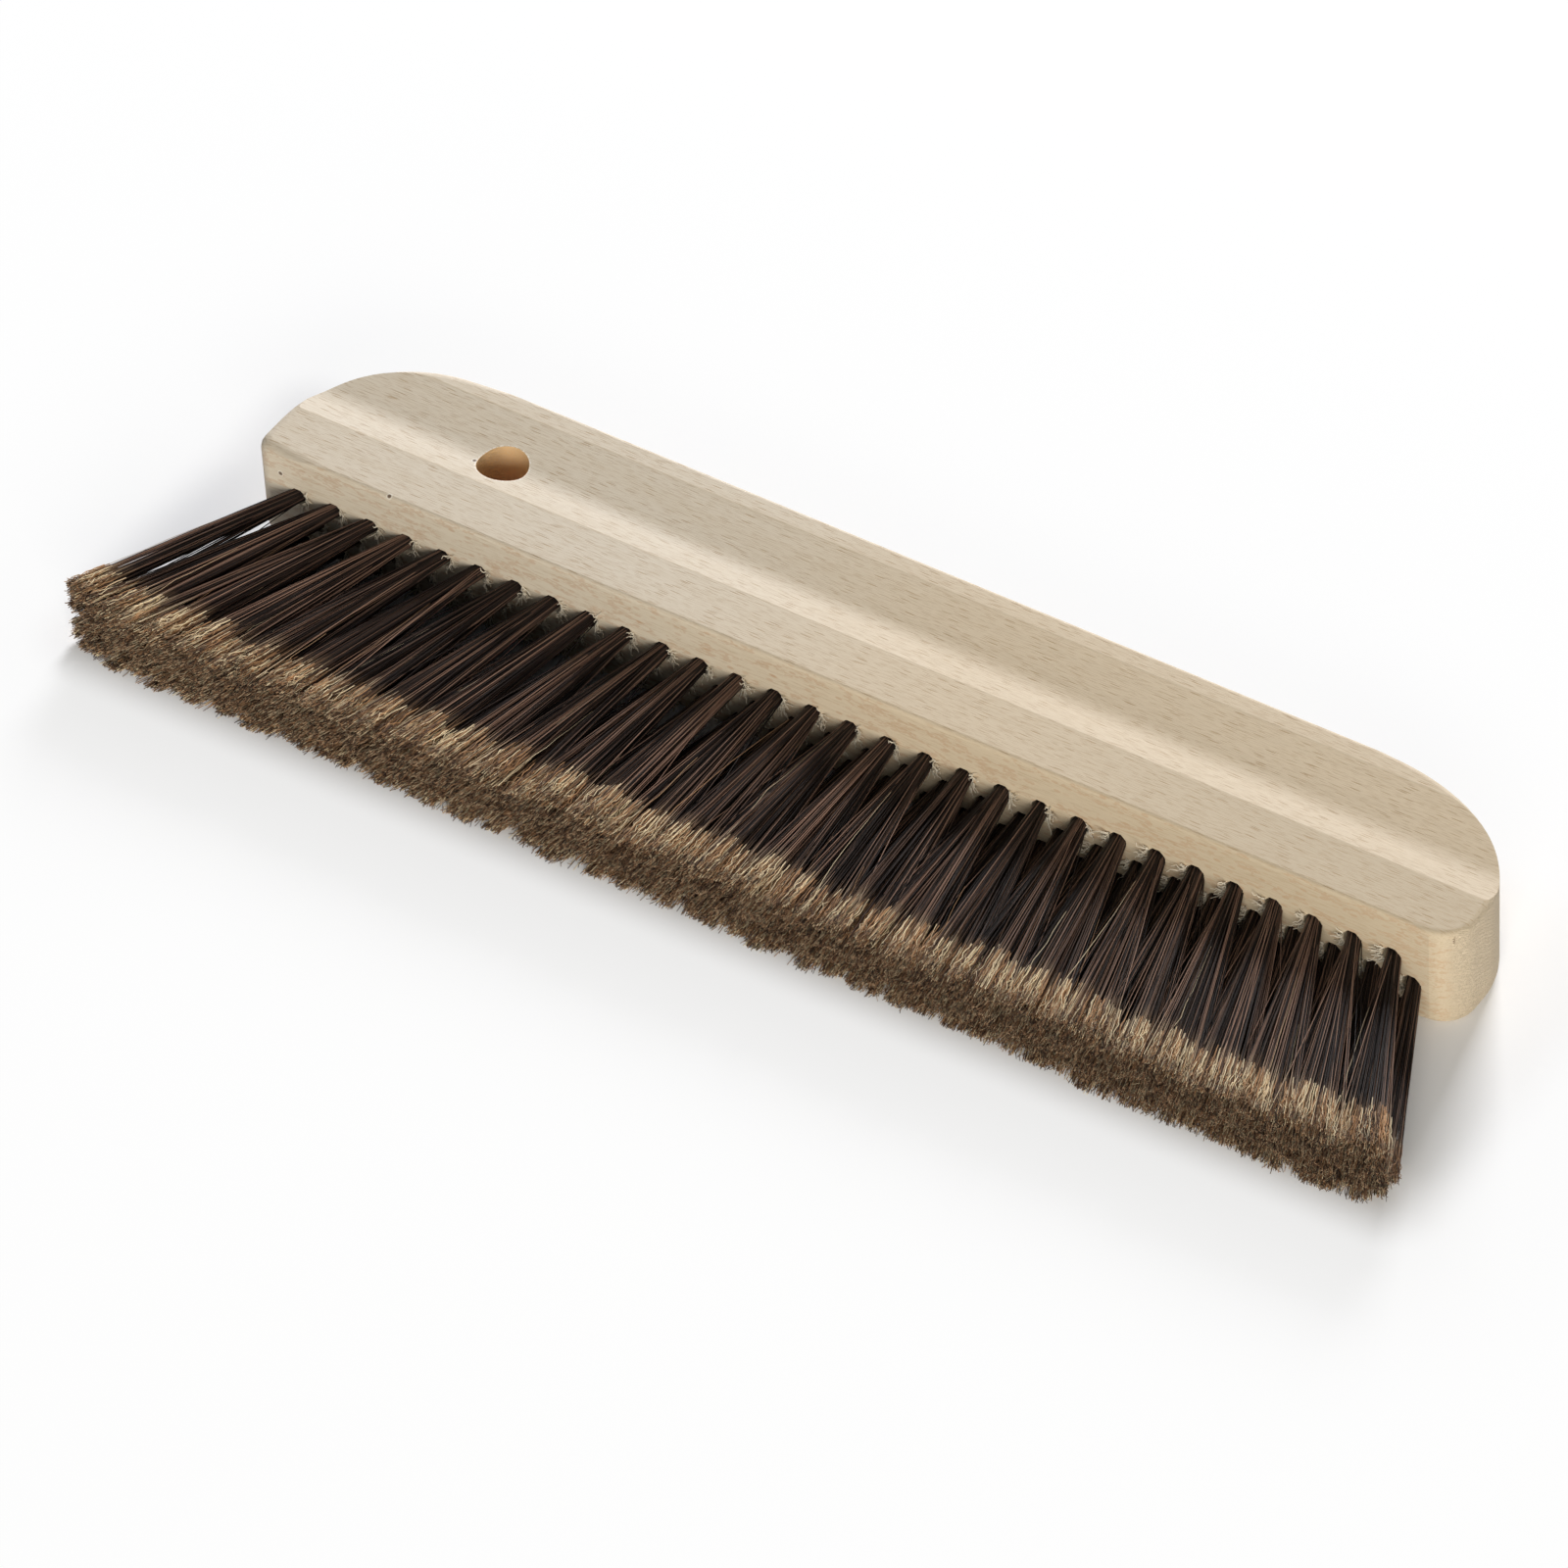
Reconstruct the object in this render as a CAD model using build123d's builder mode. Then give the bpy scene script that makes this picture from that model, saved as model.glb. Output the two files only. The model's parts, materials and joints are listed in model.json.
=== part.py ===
"""Paperhanger's smoothing brush: a beech block that holds three staggered rows of bristle tufts.

The brush lies on one wide face of its block. X runs along the block, the bristles point to -Y and
Z goes up through the block's thickness. The origin is the centre of the footprint, at the surface
that the brush lies on. All sizes are in millimetres.
"""

import os
from math import cos, radians, tan

from build123d import *

os.makedirs("parts", exist_ok=True)

# Beech block
block_length = 302.0
block_depth = 41.5
block_thickness = 26.0
sanded_edge = 1.0

# Ends, shaped and sanded by hand, so the two differ a little
hole_end_heel_radius = 4.0
hole_end_shoulder_run = 32.0
hole_end_shoulder_rise = 31.0
hole_end_rounding = 2.7
plain_end_heel_radius = 7.5
plain_end_shoulder_run = 42.0
plain_end_shoulder_rise = 30.5
plain_end_rounding = 1.5
rounding_flare = 6.0

# Finger groove, one on each wide face, measured from the bristle face
groove_start = 14.0
groove_end = 36.6
groove_bottom = 22.6
groove_vertex_depth = 2.4
groove_bottom_radius = 12.0

# Hanging hole, through the bottom of the grooves near one end
hanging_hole_radius = 5.75
hanging_hole_from_end = 49.8

# Tuft layout on the bristle face
tufts_per_row = 30
tufts_per_group = 3
end_margin = 10.9
lower_row_height = 3.2
row_spacing = 5.75
tuft_hole_radius = 2.1
tuft_hole_depth = 12.5
tuft_hole_sides = 8

# Bristle tufts: a bound root in the hole, and strands that open from it to the trimmed tip
tuft_fit = 0.05
root_sides = 8
root_stub = 1.5
bristle_length = 53.0
end_lean = 25.0
strands_per_tuft = 5
strand_bite = 0.5
strand_root_width = 0.45
strand_root_height = 1.5
strand_root_step = 0.6
strand_root_offset = 0.45
strand_tip_width = 1.8
strand_tip_height = 3.2
strand_tip_offset = 0.8

# Flat wire anchors: one across each tuft's root, through the fold of its bristles
anchor_thickness = 0.4
anchor_height = 2.2
anchor_from_floor = 1.2
anchor_fit = 0.02
slot_fit = 0.05

# Worked-out values
bristle_face = (bristle_length - block_depth) / 2
block_top = bristle_face + block_depth
half_length = block_length / 2
row_reach = half_length - end_margin
row_names = ["lower", "middle", "upper"]
pitch = 2 * row_reach / (tufts_per_row - 0.5)
hole_floor = bristle_face + tuft_hole_depth
tip_plane = bristle_face - bristle_length
anchor_y = hole_floor - anchor_from_floor - anchor_height / 2
anchor_width = 2 * (tuft_hole_radius - anchor_fit)


def row_height(row):
    """Height of a row of tufts above the surface that the brush lies on."""
    return lower_row_height + row * row_spacing


def tuft_x(row, index):
    """Place of a tuft along the block; the middle row is set half a pitch over from the others."""
    stagger = pitch / 4 if row == 1 else -pitch / 4
    return (index - (tufts_per_row - 1) / 2) * pitch + stagger


def tip_x(x):
    """Place of a tuft's tip: the tufts lean outwards, and the more so the nearer to an end."""
    return x + bristle_length * tan(radians(end_lean * x / row_reach))


def face_plane(y):
    """Plane square to the bristles, with its own X along the block and its own Y pointing up."""
    return Plane(origin=(0, y, 0), x_dir=(1, 0, 0), z_dir=(0, -1, 0))


def end_form(heel_radius, shoulder_run, shoulder_rise, rounding):
    """Slab with a shaped and rounded end at +X, to which the bar is trimmed.

    Its long sides flare away from the bar, so that the rounding of the end runs out along the bar.
    """
    heel_centre = (half_length - heel_radius, bristle_face + heel_radius * cos(radians(rounding_flare)))
    shoulder_centre = (half_length - shoulder_run, block_top - shoulder_rise)
    reach = block_length + block_depth
    with BuildPart(mode=Mode.PRIVATE) as form:
        with BuildSketch():
            with BuildLine():
                heel = CenterArc(
                    heel_centre,
                    heel_radius,
                    start_angle=270 + rounding_flare,
                    arc_size=90 - rounding_flare,
                )
                shoulder = EllipticalCenterArc(
                    shoulder_centre,
                    shoulder_run,
                    shoulder_rise,
                    start_angle=0,
                    arc_size=90 - rounding_flare,
                )
                Line(heel @ 1, shoulder @ 0)
                back_side = Line(shoulder @ 1, shoulder @ 1 + reach * (shoulder % 1))
                bristle_side = Line(heel @ 0 - reach * (heel % 0), heel @ 0)
                Line(back_side @ 1, bristle_side @ 0)
            make_face()
        extrude(amount=block_thickness)
        fillet(form.edges().filter_by(Axis.Z, reverse=True), rounding)
    return form.part


# Beech block: moulded bar with shaped ends, finger grooves, hanging hole and drilled tuft holes
with BuildPart() as beech_block:
    with BuildSketch(Plane.YZ):
        with Locations((bristle_face + block_depth / 2, block_thickness / 2)):
            RectangleRounded(block_depth, block_thickness, sanded_edge)
    extrude(amount=block_length, both=True)
    plain_end = end_form(
        plain_end_heel_radius,
        plain_end_shoulder_run,
        plain_end_shoulder_rise,
        plain_end_rounding,
    )
    hole_end = end_form(
        hole_end_heel_radius,
        hole_end_shoulder_run,
        hole_end_shoulder_rise,
        hole_end_rounding,
    )
    add(plain_end, mode=Mode.INTERSECT)
    add(mirror(hole_end, about=Plane.YZ, mode=Mode.PRIVATE), mode=Mode.INTERSECT)

    with BuildSketch(Plane.YZ) as groove_section:
        with BuildLine():
            Polyline(
                (bristle_face + groove_start, block_thickness),
                (bristle_face + groove_bottom, block_thickness - groove_vertex_depth),
                (bristle_face + groove_end, block_thickness),
                (bristle_face + groove_end, block_thickness + groove_vertex_depth),
                (bristle_face + groove_start, block_thickness + groove_vertex_depth),
                close=True,
            )
        make_face()
        deepest_corner = groove_section.vertices().sort_by(Axis.Y)[0]
        fillet(deepest_corner, groove_bottom_radius)
        mirror(about=Plane.XZ.offset(-block_thickness / 2))
    extrude(amount=half_length, both=True, mode=Mode.SUBTRACT)

    with Locations((hanging_hole_from_end - half_length, bristle_face + groove_bottom, block_thickness)):
        Hole(hanging_hole_radius)

    for row in range(len(row_names)):
        with BuildSketch(face_plane(bristle_face)):
            with Locations([(tuft_x(row, index), row_height(row)) for index in range(tufts_per_row)]):
                RegularPolygon(
                    tuft_hole_radius,
                    tuft_hole_sides,
                    major_radius=False,
                    rotation=180 / tuft_hole_sides,
                )
        extrude(amount=-tuft_hole_depth, mode=Mode.SUBTRACT)

beech_block.part.label = "beech_block"
export_step(beech_block.part, "parts/beech_block.step")


def strand(root, tip):
    """One lock of bristles: a four-sided taper, widest at its trimmed tip."""
    root_face = bristle_face - root_stub + strand_bite
    across = root[0] - tip[0] + strand_tip_width / 2
    up = root[1] - tip[1] + strand_tip_height / 2
    with BuildPart(mode=Mode.PRIVATE) as lock:
        with Locations((tip[0] - strand_tip_width / 2, tip_plane, tip[1] - strand_tip_height / 2)):
            Wedge(
                strand_tip_width,
                root_face - tip_plane,
                strand_tip_height,
                across - strand_root_width / 2,
                up - strand_root_height / 2,
                across + strand_root_width / 2,
                up + strand_root_height / 2,
                align=Align.NONE,
            )
    return lock.part


def tuft_strands(row, index):
    """The strands of one tuft, in a zigzag that leaves a gap between neighbours all the way."""
    x = tuft_x(row, index)
    z = row_height(row)
    tip_step = (tip_x(x + pitch / 2) - tip_x(x - pitch / 2)) / strands_per_tuft
    strands = []
    for number in range(strands_per_tuft):
        along = number - (strands_per_tuft - 1) / 2
        side = 1 if (number + index) % 2 == 0 else -1
        root = (x + along * strand_root_step, z + side * strand_root_offset)
        tip = (tip_x(x) + along * tip_step, z + side * strand_tip_offset)
        strands.append(strand(root, tip))
    return strands


# Tufts, in groups of neighbours from one row: each root is slotted for its anchor
for row, row_name in enumerate(row_names):
    for first in range(0, tufts_per_row, tufts_per_group):
        centres = [(tuft_x(row, first + step), row_height(row)) for step in range(tufts_per_group)]
        with BuildPart() as tufts:
            with BuildSketch(face_plane(hole_floor - tuft_fit)):
                with Locations(centres):
                    RegularPolygon(tuft_hole_radius - tuft_fit, root_sides, rotation=180 / root_sides)
            extrude(amount=tuft_hole_depth - tuft_fit + root_stub)
            with Locations([(x, anchor_y, z) for x, z in centres]):
                Box(
                    2 * tuft_hole_radius,
                    anchor_height + 2 * slot_fit,
                    anchor_thickness + 2 * slot_fit,
                    mode=Mode.SUBTRACT,
                )
            add([lock for step in range(tufts_per_group) for lock in tuft_strands(row, first + step)])
        tufts.part.label = f"{row_name}_row_tufts_{first // tufts_per_group + 1:02d}"
        export_step(tufts.part, f"parts/{tufts.part.label}.step")

# Anchors, one node for each row
for row, row_name in enumerate(row_names):
    with BuildPart() as anchors:
        centres = [(tuft_x(row, index), anchor_y, row_height(row)) for index in range(tufts_per_row)]
        with Locations(centres):
            Box(anchor_width, anchor_height, anchor_thickness)
    anchors.part.label = f"{row_name}_row_anchors"
    export_step(anchors.part, f"parts/{anchors.part.label}.step")
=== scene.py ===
"""Paperhanger's smoothing brush: a beech block with three staggered rows of bristle tufts.

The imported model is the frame. Its block and anchors keep their shape and get their finish here. Fine bristles
with pale split ends replace each group of tufts, in the space that its solid holds, and torn fibres are added
at the mouths of the holes. Lengths are in metres, and in mm in the brush's own materials.
"""

import json
from math import radians
from typing import NamedTuple

import bpy
from bpy.props import FloatProperty, FloatVectorProperty, IntProperty, PointerProperty
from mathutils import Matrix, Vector


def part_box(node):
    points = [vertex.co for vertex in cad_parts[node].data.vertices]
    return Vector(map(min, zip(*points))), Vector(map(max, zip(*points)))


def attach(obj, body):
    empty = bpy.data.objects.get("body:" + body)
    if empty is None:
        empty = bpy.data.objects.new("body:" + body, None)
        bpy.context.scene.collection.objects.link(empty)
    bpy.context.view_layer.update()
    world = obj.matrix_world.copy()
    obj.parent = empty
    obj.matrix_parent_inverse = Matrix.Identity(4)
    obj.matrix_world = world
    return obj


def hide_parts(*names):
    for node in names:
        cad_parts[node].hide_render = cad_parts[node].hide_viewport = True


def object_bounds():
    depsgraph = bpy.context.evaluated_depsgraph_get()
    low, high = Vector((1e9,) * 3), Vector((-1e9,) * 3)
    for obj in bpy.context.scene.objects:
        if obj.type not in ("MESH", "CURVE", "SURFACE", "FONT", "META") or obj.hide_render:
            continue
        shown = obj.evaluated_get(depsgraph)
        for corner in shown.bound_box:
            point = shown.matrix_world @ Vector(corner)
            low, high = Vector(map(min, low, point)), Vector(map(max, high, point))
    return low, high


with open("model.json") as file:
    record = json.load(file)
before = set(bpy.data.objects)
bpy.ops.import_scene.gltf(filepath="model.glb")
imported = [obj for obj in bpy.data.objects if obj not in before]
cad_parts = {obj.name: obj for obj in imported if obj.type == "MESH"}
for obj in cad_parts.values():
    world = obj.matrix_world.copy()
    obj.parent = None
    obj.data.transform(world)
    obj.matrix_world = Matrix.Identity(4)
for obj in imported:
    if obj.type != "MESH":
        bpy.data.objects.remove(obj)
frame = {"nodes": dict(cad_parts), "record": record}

bl_info = {
    "name": "Smoothing Brush",
    "version": (1, 0, 0),
    "blender": (4, 5, 0),
    "location": "3D View > Sidebar > Brush",
    "description": "Finishes a paperhanger's smoothing brush: beech, bristle, splinters, wire and studio",
    "category": "Object",
}

MM = 0.001
FULL_TURN = 6.2832
ROWS = ("lower", "middle", "upper")
TUFTS_PER_ROW = 30
TUFTS_PER_GROUP = 3
GROUPS_PER_ROW = TUFTS_PER_ROW // TUFTS_PER_GROUP
CAD_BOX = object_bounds()
BRISTLE_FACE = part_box("beech_block")[0].y


def colour_property(name, description, default):
    """A colour that the user can pick."""
    return FloatVectorProperty(
        name=name, description=description, default=default, subtype="COLOR", size=3, min=0, max=1
    )


def length_property(name, description, millimetres):
    """A length that the user can set, kept in metres."""
    return FloatProperty(
        name=name, description=description, default=millimetres * MM, unit="LENGTH", precision=5, min=0
    )


class BeechLook(bpy.types.PropertyGroup):
    """Colours and grain of the block."""

    plain: colour_property("Plain wood", "Colour between the marks", (0.70, 0.62, 0.50))
    toned: colour_property("Toned wood", "Colour towards the end without the hole", (0.69, 0.57, 0.41))
    # The warm colour is also painted shade over the whole back
    warm: colour_property("Warm bands", "Colour of the darker growth bands", (0.575, 0.475, 0.335))
    ray: colour_property("Rays", "Colour of the short flecks along the grain", (0.38, 0.24, 0.115))
    spot: colour_property("Spots", "Colour of the flecks on the bristle face", (0.50, 0.30, 0.17))
    bore: colour_property("Bored wood", "Colour of the hole's wall near its mouth", (0.76, 0.50, 0.24))
    # The hole's wall deep down: painted light, lighter and redder than near its mouth
    deep_wall_light: colour_property("Burnt wood", "Colour of the hole's wall deep down", (0.98, 0.50, 0.30))
    ray_length: length_property("Ray length", "Spacing of the flecks along the grain", 11.0)
    ray_width: length_property("Ray width", "Spacing of the flecks across the grain", 0.85)
    ring_spacing: length_property("Ring spacing", "Distance between growth bands", 2.6)


class BristleLook(bpy.types.PropertyGroup):
    """Number, size and colours of the bristles."""

    bristles: IntProperty(name="Bristles", description="Bristles in each tuft", default=135, min=1)
    flags: IntProperty(name="Split ends", description="Fine split ends in each tuft", default=300, min=0)
    strays: IntProperty(name="Strays", description="Loose curled hairs in each tuft", default=3, min=0)
    root_radius: length_property("Root radius", "Radius of a tuft at the block", 1.7)
    tip_reach: length_property("Tip reach", "Half the width of a tuft at its tip, along the block", 7.0)
    tip_rise: length_property("Tip rise", "Half the height of a tuft at its tip", 3.0)
    thickness: length_property("Thickness", "Radius of one bristle", 0.14)
    fan_end: length_property("Fan end", "Where the outermost tips are, from the middle of the block", 168.5)
    dark: colour_property("Dark bristle", "Colour of the darkest bristles", (0.022, 0.0155, 0.013))
    brown: colour_property("Brown bristle", "Colour of the lightest bristles", (0.36, 0.215, 0.152))
    flag: colour_property("Flags", "Colour of the split ends", (0.60, 0.34, 0.17))
    # The trimmed colour is also painted shade in the core of the fan and, in part, on the trimmed tips
    cut: colour_property("Trimmed ends", "Colour of the trimmed face of the tufts", (0.43, 0.235, 0.135))
    flag_pale: colour_property("Pale flags", "Colour of the lightest split ends", (1.0, 0.84, 0.56))


class StageLook(bpy.types.PropertyGroup):
    """Camera and studio light."""

    focal_length: FloatProperty(
        name="Focal length", description="Lens length for a 36 mm frame", default=257.4, min=1
    )
    key_power: FloatProperty(name="Key light", description="Light from behind", default=57.0, unit="POWER")
    fill_power: FloatProperty(name="Fill light", description="Light from ahead", default=33.0, unit="POWER")
    sky: FloatProperty(name="Sky", description="Strength of the light from all round", default=0.19, min=0)
    floor: colour_property("Floor", "Colour of the floor", (0.97, 0.97, 0.97))


# Node trees


class Graph:
    """Adds nodes to a tree and wires them up. A value may be a socket or a plain number, colour or vector."""

    def __init__(self, tree):
        self.tree = tree

    def put(self, socket, value):
        """Wires a socket to the input, or sets the input to a value; None leaves it as it is."""
        if isinstance(value, bpy.types.NodeSocket):
            self.tree.links.new(value, socket)
        elif value is not None:
            socket.default_value = value

    def input_of(self, node, key):
        """A node's input by its number, its identifier or its name."""
        if isinstance(key, int):
            return node.inputs[key]
        return next(socket for socket in node.inputs if key in (socket.identifier, socket.name))

    def add(self, kind, inputs=None, **settings):
        """A new node with these settings and inputs."""
        node = self.tree.nodes.new(kind)
        for name, value in settings.items():
            setattr(node, name, value)
        for key, value in (inputs or {}).items():
            self.put(self.input_of(node, key), value)
        return node

    def math(self, operation, a, b=None, c=None, clamp=False):
        """Result of a Math node."""
        return self.add("ShaderNodeMath", {0: a, 1: b, 2: c}, operation=operation, use_clamp=clamp).outputs[0]

    def times(self, a, b):
        """Product of two numbers."""
        return self.math("MULTIPLY", a, b)

    def vector(self, operation, a, b=None, scale=None):
        """Result of a Vector Math node."""
        node = self.add("ShaderNodeVectorMath", {0: a, 1: b, 3: scale}, operation=operation)
        return node.outputs["Value" if operation in ("DISTANCE", "LENGTH") else "Vector"]

    def combine(self, x, y, z):
        """A vector from its three parts."""
        return self.add("ShaderNodeCombineXYZ", {"X": x, "Y": y, "Z": z}).outputs[0]

    def separate(self, vector):
        """The three parts of a vector."""
        return self.add("ShaderNodeSeparateXYZ", {0: vector}).outputs

    def ramp(self, value, low, high, start=0.0, end=1.0):
        """Smooth step of value from start at low to end at high."""
        inputs = {"Value": value, "From Min": low, "From Max": high, "To Min": start, "To Max": end}
        return self.add("ShaderNodeMapRange", inputs, interpolation_type="SMOOTHSTEP").outputs[0]


class MaterialGraph(Graph):
    """A material's tree, with the nodes that its patterns need."""

    def __init__(self, name):
        self.material = bpy.data.materials.new(name)
        self.material.use_nodes = True
        super().__init__(self.material.node_tree)
        self.tree.nodes.clear()
        self.output = self.add("ShaderNodeOutputMaterial")

    def millimetres(self):
        """The place on the object, in mm."""
        return self.vector("SCALE", self.add("ShaderNodeTexCoord").outputs["Object"], scale=1 / MM)

    def solid(self, colour):
        """A colour with its alpha, or the socket as it is."""
        return colour if isinstance(colour, bpy.types.NodeSocket) else (*colour, 1.0)

    def mix(self, factor, a, b):
        """Colour between a and b."""
        inputs = {"Factor_Float": factor, "A_Color": self.solid(a), "B_Color": self.solid(b)}
        return self.add("ShaderNodeMix", inputs, data_type="RGBA").outputs[2]

    def noise(self, place, repeats, detail=2.0, roughness=0.5):
        """Soft random value from 0 to 1, with this many repeats per unit of x, y and z."""
        stretched = self.vector("MULTIPLY", place, repeats)
        inputs = {"Vector": stretched, "Scale": 1.0, "Detail": detail, "Roughness": roughness}
        return self.add("ShaderNodeTexNoise", inputs).outputs["Fac"]

    def near(self, value, target, reach, core=0.3):
        """1 where value is within a share, core, of the reach from the target, falling to 0 at the reach."""
        away = self.math("ABSOLUTE", self.math("SUBTRACT", value, target))
        return self.ramp(away, core * reach, reach, 1.0, 0.0)

    def attribute(self, name):
        """A value that each point of the mesh carries."""
        return self.add("ShaderNodeAttribute", attribute_name=name).outputs["Fac"]

    def bump(self, height, distance, strength=1.0):
        """Surface relief, in metres."""
        inputs = {"Height": height, "Distance": distance, "Strength": strength}
        return self.add("ShaderNodeBump", inputs).outputs[0]

    def surface(self, **inputs):
        """The finished surface; keys are the shader's own inputs, with underscores for spaces."""
        named = {key.replace("_", " "): value for key, value in inputs.items()}
        shader = self.add("ShaderNodeBsdfPrincipled", named)
        self.tree.links.new(shader.outputs[0], self.output.inputs["Surface"])
        return self.material


# Beech, in mm

# The grooves' rims, and the stretches along the block where the wood turns toned, and warm near the bristles
GROOVE_RIMS = tuple(BRISTLE_FACE / MM + from_face for from_face in (14.0, 36.6))
TONED_ALONG = (-70.0, 30.0)
WARM_ALONG = (10.0, 120.0)
WARM_FADE = 0.6
RIM_WIDTH = 0.35

# Random patterns: repeats per mm along x, y and z, then detail and roughness
SWAY = ((0.008, 0.05, 0.05), 2.0)
CLOUDS = ((0.02, 0.14, 0.14), 3.0)
PORES = ((0.25, 4.8, 4.8), 2.0, 0.6)
FIGURE = ((0.10, 0.3, 0.35), 4.0, 0.65)
SAW_MARKS = ((1.6, 2.2, 5.5), 3.0, 0.7)

# Growth rings: how much they slant with y, and how far they sway
RING_SLANT = 0.32
RING_SWAY = 9.0

# Short marks: a size is a share of the mark's cell, and the faint rays' cell is in shares of the rays' cell
RAY_SIZE = 0.16
FAINT_RAY_SIZE = 0.24
FAINT_RAY_CELL = (0.45, 0.5)
SPOT_SIZE = 0.2
SPOT_CELL = (5.5, 2.2)

# Marks with a place of their own: along the block, from its bristle face and up
PIN_HOLES = ((-144.3, 0.0, 19.6), (-115.5, 0.45, 26.0), (-107.3, 20.85, 24.3))
FLECKS = ((-50.9, 0.0, 20.1), (-33.6, 0.0, 20.4), (-16.5, 0.0, 20.7))
CRACK = (149.6, 1.25, 24.0)

# How much the distance to a mark counts along x, y and z, which gives the mark its shape
FLECK_SHAPE = (0.5, 1.0, 1.3)
CRACK_SHAPE = (5.0, 0.5, 0.5)
CRACK_BEND = 1.2

# Hanging hole: its wall's colour fades out over BORE_EDGE past its radius, and over the heights given below
# it turns from bored wood to a lighter, redder colour deep down: painted light that makes up for the shade
# there.
# Chips lie round its mouth.
BORE_EDGE = (0.02, 0.12)
DEEP_WALL_LIGHT_HEIGHTS = (24.0, 6.0)
CHIPS_FROM_WALL = 0.1
CHIPS_WIDTH = 0.45

PIN_HOLE_COLOUR = (0.11, 0.06, 0.03)
PIN_HOLE_RIM_COLOUR = (0.95, 0.9, 0.8)
CRACK_COLOUR = (0.16, 0.09, 0.045)
CHIP_COLOUR = (0.9, 0.87, 0.8)

# How far the wood is turned to an end, a side or the top where the marks of that side begin and are full, and
# how far to the back where it takes the warm colour as painted shade
FACING = ((0.35, 0.9), (0.6, 0.9), (0.5, 0.9))
BACK_SHADE_FACING = (0.3, 0.9)

# Dashes: the share of their size that is full, and how strong they are, as a random part and the least
DASH_CORE = 0.6
DASH_STRENGTH = (0.8, 0.2)

# Veins: the level of the figure that they follow, and how far from it they reach
VEINS = (0.56, 0.04)

# Where marks fade in or out: in levels of their pattern, or for the last four in mm from the mark's place
FADES = {
    "growth bands": (-0.2, 1.0),
    "pores": (0.5, 0.7),
    "saw marks": (0.45, 0.62),
    "chips": (0.46, 0.56),
    "wall marks": (0.35, 0.7),
    "pin hole rims": (0.6, 0.9),
    "pin holes": (0.35, 0.65),
    "flecks": (0.25, 0.6),
    "crack": (0.6, 1.1),
}

# How strongly each kind of mark shows, from 0 to 1
STRENGTH = {
    "growth bands": 0.12,
    "clouds": 0.35,
    "warm edge": 0.75,
    "pores": 0.35,
    "rays": 0.7,
    "faint rays": 0.35,
    "veins": 0.4,
    "spots": 0.5,
    "end rings": 0.35,
    "saw marks": 0.65,
    "groove rims": 0.45,
    "pin hole rims": 0.5,
    "pin holes": 0.9,
    "flecks": 0.55,
    "crack": 0.75,
    "chips": 0.7,
    "wall marks": 0.35,
    "bore": 0.9,
}

# Relief: its height, and how much each kind of mark adds to it or, for the rays, takes away
RELIEF_HEIGHT = 0.12 * MM
PORE_RELIEF = 0.4
END_RELIEF = 1.6
RAY_RELIEF = 0.5


def hole_axis():
    """The hanging hole's middle and radius in mm, from the record."""
    mount = next(mount for mount in frame["record"]["mounts"] if mount["name"] == "hanging_hole")
    return Vector(mount["pos_m"]) / MM, mount["dims"]["r_mm"]


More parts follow.
